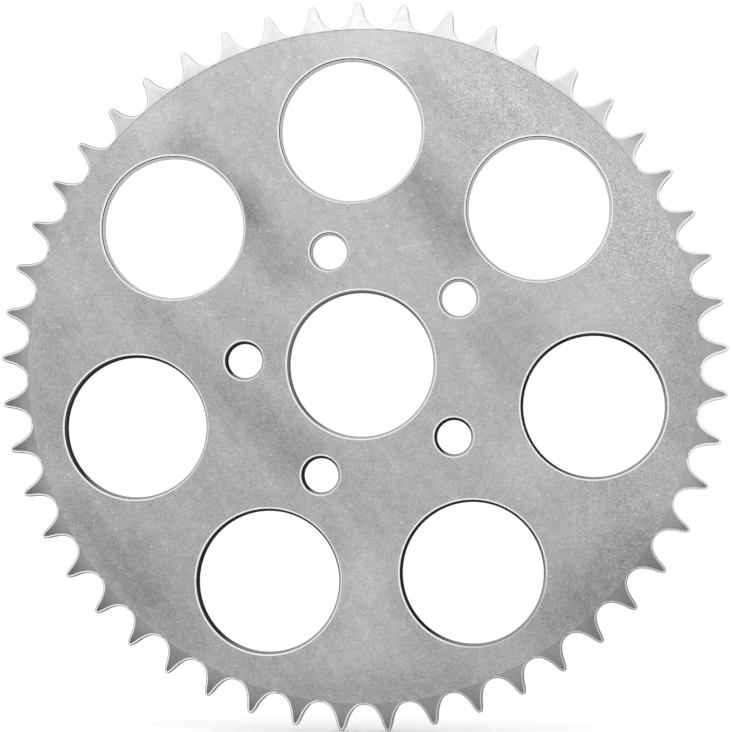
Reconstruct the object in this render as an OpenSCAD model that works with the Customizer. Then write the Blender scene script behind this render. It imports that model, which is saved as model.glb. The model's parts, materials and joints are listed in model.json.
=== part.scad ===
// Rear chain sprocket: one flat steel plate with a pilot bore, a bolt circle and lightening holes.
// Millimetres. +Z is up and the axle lies along Y. The origin is the bore's centre, halfway through
// the plate. The outer face looks towards -Y and the face that seats on the wheel hub towards +Y.
// Angles are seen from the outer face, counter-clockwise from +X.

/* [Teeth and chain] */
// Number of teeth
teeth = 49; // [46:1:56]
// Distance between the chain's pins
chain_pitch = 15.875; // [15.8:0.005:15.95]
// Diameter of the chain's rollers
roller_d = 10.16; // [10:0.01:10.3]
// Height of the tooth tips above the pitch circle
tip_height = 4.2; // [3.8:0.1:4.6]
// Angle of the first tooth
first_tooth_angle = 2.5; // [0:0.1:7.3]

/* [Plate] */
// Thickness of the plate
plate_t = 8.7; // [7:0.1:10]
// Distance from the root circle in to the line where the tooth sides start to thin
relief_inset = 0.6; // [0.2:0.1:2]
// Thinning of each tooth side at the tip
relief_depth = 2; // [1.7:0.1:2.6]
// Slope of the tooth side where the thinning starts
relief_start_angle = 5; // [2:1:7]

/* [Holes] */
// Diameter of the pilot bore that centres the sprocket on the hub
bore_d = 50.42; // [48:0.01:52]
// Number of mounting bolts
bolt_count = 5; // [3:1:6]
// Diameter of the bolt circle
bolt_circle_d = 82.55; // [78:0.05:86]
// Diameter of each bolt hole
bolt_hole_d = 11.9; // [8:0.1:13.5]
// Angle of the first bolt hole
first_bolt_angle = 106; // [90:1:162]
// Number of lightening holes
window_count = 7; // [4:1:8]
// Diameter of the circle through the lightening holes' centres
window_circle_d = 165.1; // [160:0.1:168]
// Diameter of each lightening hole
window_d = 49.2; // [40:0.1:52]
// Angle of the first lightening hole
first_window_angle = 92.6; // [90:0.1:141]
// Width of the chamfer round every hole
hole_chamfer = 1.2; // [0.4:0.1:1.4]

/* [Hidden] */
$fn = 180;
STEEL = [0.68, 0.69, 0.69];

// How far a cutting tool runs past the surface that it cuts
past = 1;
half_t = plate_t / 2;

// Pitch circle, and the circles at the bottoms of the tooth gaps and at the tips
half_pitch_angle = 180 / teeth;
pitch_r = chain_pitch / (2 * sin(half_pitch_angle));
seat_r = 0.5025 * roller_d + 0.038;
root_r = pitch_r - seat_r;
tip_r = pitch_r + tip_height;

// Roller-chain tooth form, measured from a roller's centre: x is sideways and y is away from the axle.
// The seat arc runs into a wider working arc, and that meets the rounded flank of the tip.
seat_angle = 35 + 60 / teeth;
seat_end = seat_r * [cos(seat_angle), -sin(seat_angle)];
working_centre = 0.8 * roller_d * [-cos(seat_angle), sin(seat_angle)];
working_r = 0.8 * roller_d + seat_r;
tip_centre = 1.4 * roller_d * [cos(half_pitch_angle), -sin(half_pitch_angle)];
// How far the working arc and the tip flank cross, so that they meet in a clean edge
flank_crossing = 0.03;
flank_way = (tip_centre - working_centre) / norm(tip_centre - working_centre);
flank_meeting = working_centre + working_r * flank_way;
tip_flank_r = norm(tip_centre - flank_meeting) + flank_crossing;

// Rounded thinning of the tooth sides, as an arc from the relief circle to the tips
relief_r = root_r - relief_inset;
relief_run = tip_r - relief_r;
relief_chord_angle = atan(relief_depth / relief_run);
relief_sweep = 2 * (relief_chord_angle - relief_start_angle);
relief_arc_r = norm([relief_run, relief_depth]) / (2 * sin(relief_sweep / 2));
relief_centre = [relief_r - relief_arc_r * sin(relief_start_angle),
                 half_t - relief_arc_r * cos(relief_start_angle)];

// Half of the plate's cross-section above its mid-plane, before any hole: x is the radius, y the height
module plate_section_half() {
    square([relief_r, half_t]);
    intersection() {
        square([tip_r, half_t]);
        translate(relief_centre) circle(relief_arc_r);
    }
}

// The solid disc with thinned rim that the teeth are cut from
module tooth_blank() {
    rotate_extrude() {
        plate_section_half();
        mirror([0, 1]) plate_section_half();
    }
}

// Outline of one gap between two teeth, with the roller's centre at the origin
module gap_outline() {
    circle(seat_r);
    intersection() {
        translate(working_centre) circle(working_r);
        translate([-working_centre[0], working_centre[1]]) circle(working_r);
        translate([-chain_pitch / 2, seat_end[1]])
            square([chain_pitch, flank_meeting[1] - seat_end[1] + past]);
    }
    difference() {
        translate([-chain_pitch / 2, flank_meeting[1]])
            square([chain_pitch, tip_height + past - flank_meeting[1]]);
        translate(tip_centre) circle(tip_flank_r);
        translate([-tip_centre[0], tip_centre[1]]) circle(tip_flank_r);
    }
}

// All the gaps between the teeth
module tooth_gaps() {
    for (i = [0 : teeth - 1])
        rotate(first_tooth_angle + (2 * i + 1) * half_pitch_angle - 90)
            translate([0, pitch_r, -half_t - past])
                linear_extrude(plate_t + 2 * past) gap_outline();
}

// One hole right through the plate, with a chamfer at each face
module through_hole(d) {
    cylinder(h = plate_t + 2 * past, d = d, center = true);
    for (side = [0, 1])
        mirror([0, 0, side])
            translate([0, 0, half_t - hole_chamfer])
                cylinder(h = hole_chamfer + past, d1 = d, d2 = d + 2 * (hole_chamfer + past));
}

// Equal holes spaced evenly round a circle
module hole_circle(count, circle_d, d, first_angle) {
    for (i = [0 : count - 1])
        rotate(first_angle + i * 360 / count)
            translate([circle_d / 2, 0, 0]) through_hole(d);
}

module sprocket_plate() {
    color(STEEL) rotate([90, 0, 0]) difference() {
        tooth_blank();
        tooth_gaps();
        through_hole(bore_d);
        hole_circle(bolt_count, bolt_circle_d, bolt_hole_d, first_bolt_angle);
        hole_circle(window_count, window_circle_d, window_d, first_window_angle);
    }
}

sprocket_plate();
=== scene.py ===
import json
from math import atan, atan2, cos, hypot, pi, radians, sin, sqrt, tau

import bmesh
import bpy
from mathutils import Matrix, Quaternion, Vector
from mathutils.geometry import delaunay_2d_cdt


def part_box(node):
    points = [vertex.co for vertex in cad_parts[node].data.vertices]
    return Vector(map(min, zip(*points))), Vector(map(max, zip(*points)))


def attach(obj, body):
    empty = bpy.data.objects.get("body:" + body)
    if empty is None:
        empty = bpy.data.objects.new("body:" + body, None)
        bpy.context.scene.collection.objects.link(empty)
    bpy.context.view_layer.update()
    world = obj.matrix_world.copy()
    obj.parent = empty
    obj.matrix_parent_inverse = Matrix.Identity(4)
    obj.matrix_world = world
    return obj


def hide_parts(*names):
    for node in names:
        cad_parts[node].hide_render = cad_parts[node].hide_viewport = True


# A rear chain sprocket in bright-plated steel, standing on a pale studio floor.
# Metres. The axle lies along Y, the outer face looks towards -Y and +Z is up. Angles are seen from the
# outer face, counter-clockwise from +X, so that an in-plane point (x, z) is where it looks to be.
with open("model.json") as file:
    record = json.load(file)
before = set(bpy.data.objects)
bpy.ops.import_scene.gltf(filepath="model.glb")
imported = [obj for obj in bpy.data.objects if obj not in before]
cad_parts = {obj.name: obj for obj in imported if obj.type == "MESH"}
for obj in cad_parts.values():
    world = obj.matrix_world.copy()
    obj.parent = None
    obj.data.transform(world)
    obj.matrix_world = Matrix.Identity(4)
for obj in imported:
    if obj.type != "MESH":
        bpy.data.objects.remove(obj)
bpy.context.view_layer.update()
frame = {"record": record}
MM = 0.001

# Sizes that the frame gives
mount_dims = {m["name"]: m["dims"] for m in frame["record"]["mounts"]}
plate_low, plate_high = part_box("sprocket_plate")
HALF_T = (plate_high.y - plate_low.y) / 2
BORE_R = mount_dims["bore"]["r_mm"] * MM
BOLT_COUNT = mount_dims["hub_bolts"]["count"]
BOLT_CIRCLE_R = mount_dims["hub_bolts"]["pcd_mm"] / 2 * MM
BOLT_HOLE_R = mount_dims["hub_bolts"]["hole_r_mm"] * MM

# Places of the holes and teeth round the plate, and the lightening holes' sizes
FIRST_BOLT = radians(106)
WINDOW_COUNT = 7
WINDOW_CIRCLE_R = 82.55 * MM
WINDOW_R = 24.6 * MM
FIRST_WINDOW = radians(92.6)
FIRST_TOOTH = radians(2.5)
# How many sides each round hole's rings have
BORE_SIDES = 192
BOLT_SIDES = 72
WINDOW_SIDES = 144

# Roller-chain tooth form. Points of a tooth gap are measured from its roller's centre: x is sideways and
# y is away from the axle. The seat arc runs into a wider working arc, and that meets the tip's flank.
TEETH = 49
CHAIN_PITCH = 15.875 * MM
ROLLER_D = 10.16 * MM
TIP_HEIGHT = 4.2 * MM
TIP_CORNER_R = 0.5 * MM
SHARP_CORNER_R = 0.03 * MM
HALF_PITCH = pi / TEETH
PITCH_R = CHAIN_PITCH / (2 * sin(HALF_PITCH))
AXLE = Vector((0, -PITCH_R))
TIP_R = PITCH_R + TIP_HEIGHT
SEAT_R = 0.5025 * ROLLER_D + 0.038 * MM
SEAT_ANGLE = radians(35 + 60 / TEETH)
WORKING_CENTRE = 0.8 * ROLLER_D * Vector((-cos(SEAT_ANGLE), sin(SEAT_ANGLE)))
WORKING_R = 0.8 * ROLLER_D + SEAT_R
TIP_CENTRE = 1.4 * ROLLER_D * Vector((cos(HALF_PITCH), -sin(HALF_PITCH)))
TIP_FLANK_R = (TIP_CENTRE - WORKING_CENTRE).length - WORKING_R

# Rounded thinning of the tooth sides, an arc from the relief circle to the tips
RELIEF_R = PITCH_R - SEAT_R - 0.6 * MM
RELIEF_DEPTH = 2 * MM
RELIEF_START = radians(5)
RELIEF_SWEEP = 2 * (atan(RELIEF_DEPTH / (TIP_R - RELIEF_R)) - RELIEF_START)
RELIEF_ARC_R = hypot(TIP_R - RELIEF_R, RELIEF_DEPTH) / (2 * sin(RELIEF_SWEEP / 2))
RELIEF_CENTRE_R = RELIEF_R - RELIEF_ARC_R * sin(RELIEF_START)
RELIEF_CENTRE_Y = HALF_T - RELIEF_ARC_R * cos(RELIEF_START)
RELIEF_ROWS = 9

# Profiles across an edge, in mm: (distance into the metal from the wall, depth below the face). A bright
# facet comes first, then a steep dark roll, and the hole's wall tapers on to mid-thickness.
HOLE_FACET = [(1.38, 0), (1.32, 0.04), (0.84, 0.50)]
HOLE_ROLL = [(0.64, 1.45)]
HOLE_TAPER = [(0, 4.3)]
TOOTH_FACET = [(0.76, 0), (0.72, 0.03), (0.38, 0.37)]
TOOTH_ROLL = [(0, 1.1)]


# ---- The plate's shape ----

def circles_meet(centre_a, radius_a, centre_b, radius_b):
    """Where two circles cross, on the right of the way from the first centre to the second."""
    gap = centre_b - centre_a
    along = (radius_a ** 2 - radius_b ** 2 + gap.length_squared) / (2 * gap.length)
    aside = sqrt(radius_a ** 2 - along ** 2)
    way = gap.normalized()
    return centre_a + along * way + aside * Vector((way.y, -way.x))


def arc(centre, radius, start, end, steps):
    """Points along an arc, without its last one."""
    turns = [start + (end - start) * k / steps for k in range(steps)]
    return [centre + radius * Vector((cos(t), sin(t))) for t in turns]


def angle_of(v):
    return atan2(v.y, v.x)


def gap_side(inset):
    """One side of a tooth gap, from its bottom to the middle of the tip, moved into the metal by inset.
    Each point is (radius, angle from the gap's middle) about the axle."""
    meeting = angle_of(TIP_CENTRE - WORKING_CENTRE)
    corner_r = max(TIP_CORNER_R - inset, SHARP_CORNER_R)
    corner = circles_meet(TIP_CENTRE, TIP_FLANK_R - inset - corner_r, AXLE, TIP_R - inset - corner_r)
    corner_start, corner_end = angle_of(corner - TIP_CENTRE), angle_of(corner - AXLE)
    points = arc(Vector((0, 0)), SEAT_R + inset, -pi / 2, -SEAT_ANGLE, steps=8)
    points += arc(WORKING_CENTRE, WORKING_R + inset, -SEAT_ANGLE, meeting, steps=4)
    points += arc(TIP_CENTRE, TIP_FLANK_R - inset, meeting + pi, corner_start, steps=6)
    points += arc(corner, corner_r, corner_start, corner_end, steps=5)
    points += arc(AXLE, TIP_R - inset, corner_end, pi / 2 - HALF_PITCH, steps=1)
    side = [((p - AXLE).length, pi / 2 - angle_of(p - AXLE)) for p in points]
    return side + [(TIP_R - inset, HALF_PITCH)]


def tooth_outline(inset):
    """The toothed rim all round, as (radius, angle), moved into the metal by inset."""
    side = gap_side(inset)
    outline = []
    for i in range(TEETH):
        middle = FIRST_TOOTH + (2 * i + 1) * HALF_PITCH
        outline += [(r, middle - a) for r, a in reversed(side[1:])]
        outline += [(r, middle + a) for r, a in side[:-1]]
    return outline


def half_thickness(r):
    """Half the plate's thickness at a radius, thinned towards the tooth tips."""
    if r <= RELIEF_R:
        return HALF_T
    return RELIEF_CENTRE_Y + sqrt(RELIEF_ARC_R ** 2 - (r - RELIEF_CENTRE_R) ** 2)


def edge_steps(name, facet, roll, wall=()):
    """The steps of an edge's profile after its first point: (kind of surface, inset, depth) in metres."""
    steps = [(name + "_facet", p) for p in facet[1:]] + [(name + "_roll", p) for p in roll]
    steps += [(name + "_wall", p) for p in wall]
    return [(kind, inset * MM, depth * MM) for kind, (inset, depth) in steps]


def rim_rings():
    """Rings of (radius, angle, height) from the relief circle over a tooth's side to its wall, with
    the kind of surface that ends at each ring."""
    top = tooth_outline(TOOTH_FACET[0][0] * MM)
    rings = []
    for k in range(RELIEF_ROWS + 1):
        radii = [RELIEF_R + (r - RELIEF_R) * k / RELIEF_ROWS for r, _ in top]
        rings.append(("side", [(r, a, half_thickness(r)) for r, (_, a) in zip(radii, top)]))
    for kind, inset, depth in edge_steps("tooth", TOOTH_FACET, TOOTH_ROLL):
        outline = tooth_outline(inset)
        rings.append((kind, [(r, a, half_thickness(r) - depth) for r, a in outline]))
    return rings


def hole_rings(name, centre_r, centre_angle, radius, sides):
    """Rings of (x, z, height) from the face into one hole, with the kind of surface ending at each."""
    cx, cz = centre_r * cos(centre_angle), centre_r * sin(centre_angle)
    steps = [("face", HOLE_FACET[0][0] * MM, 0)] + edge_steps(name, HOLE_FACET, HOLE_ROLL, HOLE_TAPER)
    turns = [tau * k / sides for k in range(sides)]
    rings = []
    for kind, inset, depth in steps:
        r = radius + inset
        rings.append((kind, [(cx + r * cos(t), cz + r * sin(t), HALF_T - depth) for t in turns]))
    return rings


class Shell:
    """The piece's points and faces, gathered ring by ring. Each face has a kind of surface."""

    def __init__(self):
        self.points = []
        self.faces = []
        self.kinds = []

    def ring(self, points, front):
        """Adds a ring of (x, z, height) on the outer side if front, else on the hub side."""
        first = len(self.points)
        self.points += [(x, -h if front else h, z) for x, z, h in points]
        return list(range(first, len(self.points)))

    def band(self, inner, outer, kind):
        """Joins two rings of equal length with quads."""
        n = len(inner)
        for j in range(n):
            k = (j + 1) % n
            self.faces.append((inner[j], outer[j], outer[k], inner[k]))
        self.kinds += [kind] * n

    def through(self, rings, wall_kind, outward):
        """Joins rings of the outer side, the wall and the same rings of the hub side. outward means that
        each ring lies outside the one before it. Gives the two rings that lie on the flat faces."""
        front = [self.ring(points, True) for _, points in rings]
        back = [self.ring(points, False) for _, points in rings]
        path = front + back[::-1]
        kinds = [kind for kind, _ in rings[1:]]
        for a, b, kind in zip(path, path[1:], kinds + [wall_kind] + kinds[::-1]):
            if outward:
                self.band(a, b, kind)
            else:
                self.band(b, a, kind)
        return front[0], back[0]

    def flat_face(self, loops, front):
        """Fills the flat face between the relief circle, which is the first loop, and the holes."""
        owner = [n for n, loop in enumerate(loops) for _ in loop]
        index = [i for loop in loops for i in loop]
        places = [Vector((self.points[i][0], self.points[i][2])) for i in index]
        edges = []
        start = 0
        for loop in loops:
            n = len(loop)
            edges += [(start + j, start + (j + 1) % n) for j in range(n)]
            start += n
        inside_only, tolerance = 1, 1e-7
        _, _, triangles, origins, _, _ = delaunay_2d_cdt(places, edges, [], inside_only, tolerance)
        for triangle in triangles:
            corners = [origins[v][0] for v in triangle]
            holes = {owner[c] for c in corners}
            if len(holes) == 1 and holes != {0}:
                continue
            face = [index[c] for c in corners]
            self.faces.append(tuple(face if front else reversed(face)))
            self.kinds.append("face")


def plate_shell():
    shell = Shell()
    rim = [(kind, [(r * cos(a), r * sin(a), h) for r, a, h in ring]) for kind, ring in rim_rings()]
    loops = [shell.through(rim, "tooth_wall", True)]
    holes = [("bore", 0, 0, BORE_R, BORE_SIDES)]
    for i in range(BOLT_COUNT):
        holes.append(("hole", BOLT_CIRCLE_R, FIRST_BOLT + tau * i / BOLT_COUNT, BOLT_HOLE_R, BOLT_SIDES))
    for i in range(WINDOW_COUNT):
        holes.append(("hole", WINDOW_CIRCLE_R, FIRST_WINDOW + tau * i / WINDOW_COUNT, WINDOW_R, WINDOW_SIDES))
    for name, *place in holes:
        loops.append(shell.through(hole_rings(name, *place), name + "_wall", False))
    shell.flat_face([front for front, _ in loops], True)
    shell.flat_face([back for _, back in loops], False)
    return shell


def mark_sharp_edges(mesh, sharp_angle=radians(35)):
    """Keeps a crisp line where the kind of surface changes or the surface turns sharply."""
    bm = bmesh.new()
    bm.from_mesh(mesh)
    kind = bm.faces.layers.int["kind"]
    for edge in bm.edges:
        one, other = edge.link_faces
        edge.smooth = one[kind] == other[kind] and edge.calc_face_angle() < sharp_angle
    bm.to_mesh(mesh)
    bm.free()


def make_plate(materials):
    """The whole plate as one closed mesh. materials gives each kind of surface its material."""
    shell = plate_shell()
    mesh = bpy.data.meshes.new("plated_sprocket")
    mesh.from_pydata(shell.points, [], shell.faces)
    kinds = list(materials)
    layer = mesh.attributes.new("kind", "INT", "FACE")
    layer.data.foreach_set("value", [kinds.index(k) for k in shell.kinds])
    slots = list(dict.fromkeys(materials.values()))
    for material in slots:
        mesh.materials.append(material)
    for polygon, name in zip(mesh.polygons, shell.kinds):
        polygon.material_index = slots.index(materials[name])
        polygon.use_smooth = True
    mark_sharp_edges(mesh)
    mesh.attributes.remove(mesh.attributes["kind"])
    piece = bpy.data.objects.new("plated_sprocket", mesh)
    bpy.context.scene.collection.objects.link(piece)
    return piece


# ---- Node graphs ----

class Graph:
    """Short calls that build one node tree. add gives the new node, and the others its outputs."""

    def __init__(self, tree):
        self.tree = tree
        tree.nodes.clear()

    def add(self, kind, inputs, **settings):
        node = self.tree.nodes.new(kind)
        for name, value in settings.items():
            setattr(node, name, value)
        for name, value in inputs.items():
            if isinstance(value, bpy.types.NodeSocket):
                self.tree.links.new(value, node.inputs[name])
            else:
                node.inputs[name].default_value = value
        return node

    def math(self, operation, a, b=0.0):
        return self.add("ShaderNodeMath", {0: a, 1: b}, operation=operation).outputs[0]

    def times(self, a, b):
        return self.math("MULTIPLY", a, b)

    def minus(self, a, b):
        return self.math("SUBTRACT", a, b)

    def total(self, terms):
        result = terms[0]
        for term in terms[1:]:
            result = self.math("ADD", result, term)
        return result

    def ramp(self, value, start, end, low=0.0, high=1.0):
        """A smooth step from low at start to high at end."""
        inputs = {"Value": value, "From Min": start, "From Max": end, "To Min": low, "To Max": high}
        return self.add("ShaderNodeMapRange", inputs, interpolation_type="SMOOTHSTEP").outputs[0]

    def mix(self, share, a, b):
        inputs = {"Factor": share, "A": a, "B": b}
        return self.add("ShaderNodeMix", inputs, data_type="FLOAT").outputs[0]

    def split(self, vector):
        return self.add("ShaderNodeSeparateXYZ", {0: vector}).outputs

    def noise(self, vector, size, detail=2.0):
        """Soft noise about zero, with lumps about size metres across."""
        inputs = {"Vector": vector, "Scale": 1 / size, "Detail": detail}
        return self.minus(self.add("ShaderNodeTexNoise", inputs).outputs[0], 0.5)


# ---- Plated steel ----

# Soft dark streaks, some in the plating and some painted shade towards the rim: start and end (x, z), reach
# to each side, strength
STREAKS_AND_PAINTED_SHADE = [
    ((-0.062, 0.078), (-0.040, 0.054), 0.013, 0.9),
    ((-0.046, 0.056), (-0.028, 0.034), 0.015, 0.9),
    ((0.019, 0.100), (0.038, 0.082), 0.012, 0.4),
    ((0.017, 0.068), (0.036, 0.045), 0.017, 1.3),
    ((0.045, 0.029), (0.059, 0.015), 0.010, 0.3),
    ((-0.076, 0.020), (-0.055, -0.002), 0.012, 0.5),
    ((-0.045, 0.022), (-0.029, 0.005), 0.011, 0.4),
    ((-0.045, -0.010), (-0.020, -0.034), 0.014, 0.9),
    ((0.045, 0.010), (0.056, -0.004), 0.015, 0.5),
    ((-0.108, 0.012), (-0.106, -0.025), 0.012, 0.4),
    ((-0.101, -0.050), (-0.078, -0.083), 0.010, 0.9),
    ((-0.080, -0.064), (-0.060, -0.098), 0.010, 0.6),
    ((-0.020, -0.113), (0.034, -0.112), 0.010, 0.5),
    ((0.070, -0.090), (0.098, -0.066), 0.022, 1.0),
    ((0.113, 0.018), (0.113, -0.025), 0.012, 0.6),
]
# Soft patches of painted light: centre (x, z), radius, strength
PAINTED_LIGHT_PATCHES = [
    ((0.0, 0.112), 0.030, 0.9),
    ((-0.074, 0.087), 0.018, 0.8),
    ((0.080, 0.020), 0.018, 0.4),
    ((0.001, -0.074), 0.020, 1.4),
    ((0.001, -0.097), 0.024, 1.0),
    ((0.058, -0.034), 0.018, 0.8),
    ((-0.100, 0.032), 0.018, 0.4),
]
# Fine bright scratches: start and end (x, z)
SCRATCHES = [
    ((0.0125, 0.0405), (0.0240, 0.0425)),
    ((0.011, -0.0900), (0.018, -0.0926)),
]
# How much a streak darkens, and a patch or scratch lightens, at full strength
STREAK_SHADE = -0.15
PATCH_SHADE = 0.10
SCRATCH_SHADE = 0.15
SCRATCH_REACH = 0.35 * MM
# A fine dark line just inside the relief circle, which fades in towards the top of the plate
RELIEF_LINE_R = RELIEF_R - 0.15 * MM
RELIEF_LINE_REACH = 0.35 * MM
RELIEF_LINE_SHADE = -0.22
# Where the plating sparkles: start and end (x, z) of the area's middle line, its reach and its strength
SPARKLE_AREAS = [
    ((0.045, 0.092), (0.103, 0.040), 0.035, 1.0),
    ((0.108, 0.020), (0.090, -0.060), 0.025, 0.6),
]
# Shade of each surface, as the share of light that it reflects. The edges get painted shade at the lower
# right.
FACE_SHADE = 0.59
EDGE_SHADE = 0.75
EDGE_PAINTED_SHADE = -0.30
TOOTH_WALL_SHADE = 0.60
DARK_ROLL_SHADE = 0.14
PALE_ROLL_SHADE = 0.62
STEEL_TINT = (0.979, 1.0, 0.995)
# Noise on the face: the size of its lumps, and how far it moves the shade. The lift makes the sparkle
# lighten a little more than it darkens.
CLOUD_SIZE = 85 * MM
CLOUD_STRETCH = 3.2
CLOUD_SHADE = 0.034
WISP_SIZE = 34 * MM
WISP_STRETCH = 9.0
WISP_SHADE = 0.036
MOTTLE_SIZE = 3.0 * MM
MOTTLE_SHADE = 0.14
GRAIN_SIZE = 0.7 * MM
GRAIN_SHADE = 0.34
SPECK_SIZE = 1.4 * MM
SPECK_SHADE = 0.16
SPARKLE_SIZE = 0.5 * MM
SPARKLE_LIFT = 0.01
# How high the grain and the drill's rings stand, and the coarser milling of the tooth walls
FINE_RELIEF = 0.01 * MM
MILLED_RELIEF = 0.02 * MM
# Heights between which the walls of the holes turn pale, painted light on the upper holes, and how rough and
# metallic they are then
PALE_FROM = 0.008
PALE_TO = 0.020
PALE_ROUGHNESS = 0.45
PALE_METALLIC = 0.6


def length_to(g, x, z, centre=(0, 0)):
    """Distance from the point (x, z) to a centre."""
    dx, dz = g.minus(x, centre[0]), g.minus(z, centre[1])
    return g.math("SQRT", g.total([g.times(dx, dx), g.times(dz, dz)]))


def length_to_line(g, x, z, start, end):
    """Distance from the point (x, z) to a straight line between two points."""
    run = Vector(end) - Vector(start)
    dx, dz = g.minus(x, start[0]), g.minus(z, start[1])
    along = g.total([g.times(dx, run.x / run.length_squared), g.times(dz, run.y / run.length_squared)])
    share = g.math("MINIMUM", g.math("MAXIMUM", along, 0.0), 1.0)
    return length_to(g, g.minus(dx, g.times(share, run.x)), g.minus(dz, g.times(share, run.y)))


def steel_base(name):
    """A new material's graph with its place on the object: (material, graph, position, x, z)."""
    material = bpy.data.materials.new(name)
    material.use_nodes = True
    g = Graph(material.node_tree)
    place = g.add("ShaderNodeTexCoord", {}).outputs["Object"]
    x, _, z = g.split(place)
    return material, g, place, x, z


def finish_steel(g, shade, roughness, height, bump, metallic=1.0):
    """Ends a steel graph: shade is its grey, height the fine relief in metres and bump its strength."""
    channels = zip(("Red", "Green", "Blue"), STEEL_TINT)
    tint = g.add("ShaderNodeCombineColor", {name: g.times(shade, t) for name, t in channels}).outputs[0]
    normal = g.add("ShaderNodeBump", {"Height": height, "Strength": bump, "Distance": 1.0}).outputs[0]
    shader = g.add("ShaderNodeBsdfPrincipled", {
        "Base Color": tint, "Metallic": metallic, "Roughness": roughness, "Normal": normal,
    })
    g.add("ShaderNodeOutputMaterial", {"Surface": shader.outputs[0]})


def rough_by_grain(g, grain, smoothest, roughest):
    """Roughness that follows the grain."""
    return g.ramp(grain, -0.25, 0.25, smoothest, roughest)


def diagonal_noise(g, place, size, stretch):
    """Noise from about -1 to 1 in streaks that run down to the right, stretch times as long as wide."""
    turned = g.add("ShaderNodeMapping", {
        "Vector": place, "Rotation": (0, radians(56), 0), "Scale": (1.0, 1.0, 1 / stretch),
    }, vector_type="TEXTURE").outputs[0]
    return g.times(g.noise(turned, size, 3.0), 4.0)


def marks_and_painted_light(g, x, z):
    """Changes of shade: streaks, partly painted shade, patches of painted light, scratches and the dark line.
    """
    marks = []
    for start, end, reach, strength in STREAKS_AND_PAINTED_SHADE:
        near = g.ramp(length_to_line(g, x, z, start, end), reach, 0.0)
        marks.append(g.times(near, STREAK_SHADE * strength))
    for centre, radius, strength in PAINTED_LIGHT_PATCHES:
        near = g.ramp(length_to(g, x, z, centre), radius, 0.0)
        marks.append(g.times(near, PATCH_SHADE * strength))
    for start, end in SCRATCHES:
        near = g.ramp(length_to_line(g, x, z, start, end), SCRATCH_REACH, 0.0)
        marks.append(g.times(near, SCRATCH_SHADE))
    off_line = g.math("ABSOLUTE", g.minus(length_to(g, x, z), RELIEF_LINE_R))
    relief_line = g.times(g.ramp(off_line, RELIEF_LINE_REACH, 0.0), g.ramp(z, 0.05, 0.10))
    marks.append(g.times(relief_line, RELIEF_LINE_SHADE))
    return marks


def plating_speckle(g, place, x, z):
    """Sparse bright specks all over, and the fine sparkle of the upper right and right."""
    specks = g.ramp(g.noise(place, SPECK_SIZE, 0.0), 0.24, 0.30)
    sparkling = 0.0
    for start, end, reach, strength in SPARKLE_AREAS:
        near = g.ramp(length_to_line(g, x, z, start, end), reach, 0.0)
        sparkling = g.math("MAXIMUM", g.times(near, strength), sparkling)
    sparkle = g.times(g.math("ADD", g.noise(place, SPARKLE_SIZE), SPARKLE_LIFT), sparkling)
    return g.total([g.times(specks, SPECK_SHADE), sparkle])


def face_steel(name, smoothest, roughest, speckle):
    """The flat faces and tooth sides: satin plating with diagonal clouds, marks, painted light and shade,
    and fine grain. speckle is how strong the grain, the specks and the sparkle are."""
    material, g, place, x, z = steel_base(name)
    grain = g.noise(place, GRAIN_SIZE, 1.0)
    shade = g.total([
        FACE_SHADE,
        g.times(diagonal_noise(g, place, CLOUD_SIZE, CLOUD_STRETCH), CLOUD_SHADE),
        g.times(diagonal_noise(g, place, WISP_SIZE, WISP_STRETCH), WISP_SHADE),
        *marks_and_painted_light(g, x, z),
        g.times(g.noise(place, MOTTLE_SIZE, 1.0), MOTTLE_SHADE),
        g.times(grain, GRAIN_SHADE * speckle),
        g.times(plating_speckle(g, place, x, z), speckle),
    ])
    roughness = rough_by_grain(g, grain, smoothest, roughest)
    finish_steel(g, shade, roughness, g.times(grain, FINE_RELIEF), 0.5 * speckle)
    return material


def edge_steel():
    """Chamfers, brighter and smoother than the face, with painted shade on the teeth at the lower right."""
    material, g, place, x, z = steel_base("bright_edge")
    grain = g.noise(place, GRAIN_SIZE)
    to_lower_right = g.minus(g.times(x, 0.75), z)
    painted_shade_lower_right = g.ramp(to_lower_right, 0.115, 0.135, 0.0, EDGE_PAINTED_SHADE)
    shade = g.total([EDGE_SHADE, painted_shade_lower_right, g.times(grain, 0.16)])
    roughness = rough_by_grain(g, grain, 0.20, 0.30)
    finish_steel(g, shade, roughness, g.times(grain, FINE_RELIEF), 0.4)
    return material


def tooth_wall_steel():
    """Walls of the tooth gaps: matt plating over a milled surface."""
    material, g, place, _, _ = steel_base("tooth_wall")
    grain = g.noise(place, 0.8 * MM, 3.0)
    shade = g.total([TOOTH_WALL_SHADE, g.times(grain, 0.12)])
    roughness = rough_by_grain(g, grain, 0.40, 0.52)
    finish_steel(g, shade, roughness, g.times(grain, MILLED_RELIEF), 0.5, metallic=0.7)
    return material


def tooth_roll_steel():
    """The steep part of the tooth edges, in painted shade and light: dark on the lower left, pale and matt
    on the upper right.
    """
    material, g, place, x, z = steel_base("tooth_roll")
    grain = g.noise(place, 0.8 * MM)
    to_upper_right = g.total([x, z])
    pale = g.ramp(to_upper_right, 0.0, 0.08)
    shade = g.total([g.mix(pale, DARK_ROLL_SHADE, PALE_ROLL_SHADE), g.times(grain, 0.1)])
    roughness = g.mix(pale, 0.2, 0.55)
    metallic = g.mix(pale, 1.0, 0.4)
    finish_steel(g, shade, roughness, g.times(grain, FINE_RELIEF), 0.5, metallic)
    return material


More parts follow.
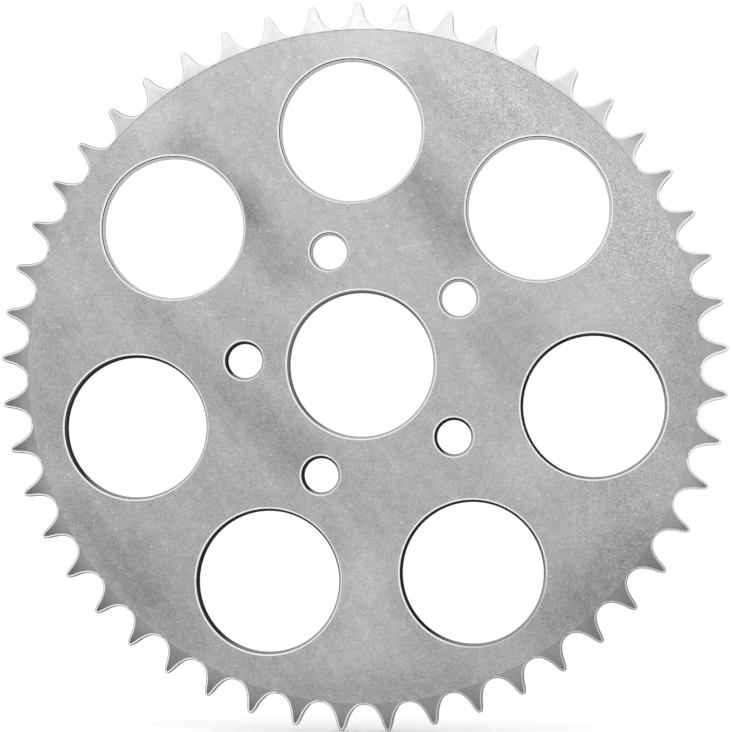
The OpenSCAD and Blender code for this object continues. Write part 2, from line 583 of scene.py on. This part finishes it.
def bored_steel(name, shade, roughness, pale_shade=None):
    """Walls of the holes, with the drill's fine rings, darkened with painted shade. With a pale_shade, the
    walls turn paler and more matt above PALE_FROM, with painted light on the upper holes."""
    material, g, place, _, z = steel_base(name)
    stretched = g.add("ShaderNodeMapping", {"Vector": place, "Scale": (0.1, 1.0, 0.1)}).outputs[0]
    rings = g.noise(stretched, 0.5 * MM)
    metallic = 1.0
    if pale_shade is not None:
        pale = g.ramp(z, PALE_FROM, PALE_TO)
        shade = g.mix(pale, shade, pale_shade)
        roughness = g.mix(pale, roughness, PALE_ROUGHNESS)
        metallic = g.mix(pale, metallic, PALE_METALLIC)
    ringed = g.math("ADD", g.times(rings, 0.10), shade)
    finish_steel(g, ringed, roughness, g.times(rings, FINE_RELIEF), 0.5, metallic)
    return material


# ---- Studio ----

# How bright each part of the studio is to a polished surface. The white that the eye sees is a little
# over 1, so that the background is pure white.
EYE_WHITE = 1.05
OVERHEAD_LIGHT = 1.5
SIDE_LIGHT = 1.25
CARD_BY_CAMERA = 0.62
CARD_FURTHER_OUT = 0.24
LOWER_CARD_SHARE = 0.82
RIGHT_CARD = 0.2
LEFT_CARD = 0.24
DARK_CORNER = -0.30
FLAG_LOWER_RIGHT = 0.03
FLAG_UPPER_LEFT = 0.70


def cone(g, axis, start, end, low=0.0, high=1.0):
    """A smooth step between two angles, in degrees, from an axis. axis is the cosine of that angle."""
    return g.ramp(axis, cos(radians(start)), cos(radians(end)), low, high)


def studio_light(g):
    """How bright the studio is in each direction, as polished metal sees it: softboxes above and at the
    sides, darker cards round the camera, and a flag behind the object. The cards are paler at the right
    and left, with a dark corner at the upper left. The flag runs from black at the lower right to pale."""
    way = g.add("ShaderNodeTexCoord", {}).outputs["Generated"]
    x, y, z = g.split(way)
    front = g.times(y, -1.0)
    right_edge = g.total([g.times(x, 1.15), 0.06])
    left_edge = g.total([g.times(x, -0.7), 0.02])
    above = g.minus(z, g.math("MAXIMUM", right_edge, left_edge))
    overhead = g.ramp(above, -0.09, 0.21)
    round_camera = cone(g, front, 10, 44, CARD_BY_CAMERA, CARD_FURTHER_OUT)
    cards = g.times(round_camera, g.ramp(z, -0.02, -0.28, 1.0, LOWER_CARD_SHARE))
    right_card = g.times(g.times(g.ramp(x, 0.05, 0.35), g.ramp(z, -0.12, 0.12)), RIGHT_CARD)
    left_card = g.times(g.times(g.ramp(x, -0.22, -0.40), g.ramp(z, 0.0, 0.22)), LEFT_CARD)
    dark_corner = g.times(g.ramp(x, -0.44, -0.58), g.ramp(z, 0.22, 0.32, 0.0, DARK_CORNER))
    facing = g.mix(overhead, g.total([cards, right_card, left_card, dark_corner]), OVERHEAD_LIGHT)
    sides = g.mix(cone(g, front, 50, 62), facing, SIDE_LIGHT)
    flag = g.ramp(g.minus(z, x), 0.10, 0.45, FLAG_LOWER_RIGHT, FLAG_UPPER_LEFT)
    return g.mix(cone(g, y, 41, 35), sides, flag)


def make_world():
    """Plain white for the eye and for matt surfaces, and the studio for reflections."""
    world = bpy.data.worlds.new("studio")
    world.use_nodes = True
    world.cycles.sampling_method = "NONE"
    g = Graph(world.node_tree)
    reflected = g.add("ShaderNodeLightPath", {}).outputs["Is Glossy Ray"]
    strength = g.mix(reflected, EYE_WHITE, studio_light(g))
    background = g.add("ShaderNodeBackground", {"Color": (1, 1, 1, 1), "Strength": strength})
    g.add("ShaderNodeOutputWorld", {"Surface": background.outputs[0]})
    bpy.context.scene.world = world


def make_floor():
    """A pale floor just under the lowest teeth."""
    half = 4.0
    gap_below_teeth = 0.05 * MM
    level = plate_low.z - gap_below_teeth
    corners = [(-half, -half, level), (half, -half, level), (half, half, level), (-half, half, level)]
    mesh = bpy.data.meshes.new("floor")
    mesh.from_pydata(corners, [], [(0, 1, 2, 3)])
    material = bpy.data.materials.new("pale_floor")
    material.use_nodes = True
    g = Graph(material.node_tree)
    shader = g.add("ShaderNodeBsdfPrincipled", {
        "Base Color": (0.96, 0.96, 0.96, 1), "Roughness": 1.0, "Specular IOR Level": 0.0,
    })
    g.add("ShaderNodeOutputMaterial", {"Surface": shader.outputs[0]})
    mesh.materials.append(material)
    floor = bpy.data.objects.new("floor", mesh)
    floor.visible_glossy = False
    bpy.context.scene.collection.objects.link(floor)


def make_softbox():
    """A wide soft light overhead, which gives the floor its light and faint shadow."""
    light = bpy.data.lights.new("softbox", "AREA")
    light.shape = "RECTANGLE"
    light.size, light.size_y = 2.4, 1.6
    light.energy = 7
    softbox = bpy.data.objects.new("softbox", light)
    softbox.location = (0, -0.2, 1.6)
    softbox.visible_camera = False
    softbox.visible_glossy = False
    bpy.context.scene.collection.objects.link(softbox)


def make_camera():
    """The camera a little right of and below the axle, aimed almost at the bore."""
    data = bpy.data.cameras.new("camera")
    data.lens = 141
    data.sensor_width = 36
    data.clip_start = 0.01
    camera = bpy.data.objects.new("camera", data)
    camera.location = (0.092, -1.002, -0.050)
    aim = Vector((0.00145, 0, -0.0004))
    camera.rotation_mode = "QUATERNION"
    level = (aim - camera.location).to_track_quat("-Z", "Y")
    camera.rotation_quaternion = level @ Quaternion((0, 0, 1), radians(0.12))
    bpy.context.scene.collection.objects.link(camera)
    bpy.context.scene.camera = camera


edge = edge_steel()
bore_wall = bored_steel("bore_wall", 0.42, 0.30)
plate = make_plate({
    "face": face_steel("plated_face", 0.26, 0.34, 1.0),
    "side": face_steel("plated_side", 0.15, 0.21, 0.35),
    "tooth_facet": edge,
    "tooth_roll": tooth_roll_steel(),
    "tooth_wall": tooth_wall_steel(),
    "hole_facet": edge,
    "hole_roll": bored_steel("hole_roll", 0.09, 0.17),
    "hole_wall": bored_steel("hole_wall", 0.20, 0.17, pale_shade=0.62),
    "bore_facet": edge,
    "bore_roll": bore_wall,
    "bore_wall": bore_wall,
})
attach(plate, "root")
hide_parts("sprocket_plate")

make_world()
make_floor()
make_softbox()
make_camera()
bpy.context.scene.view_settings.view_transform = "Standard"
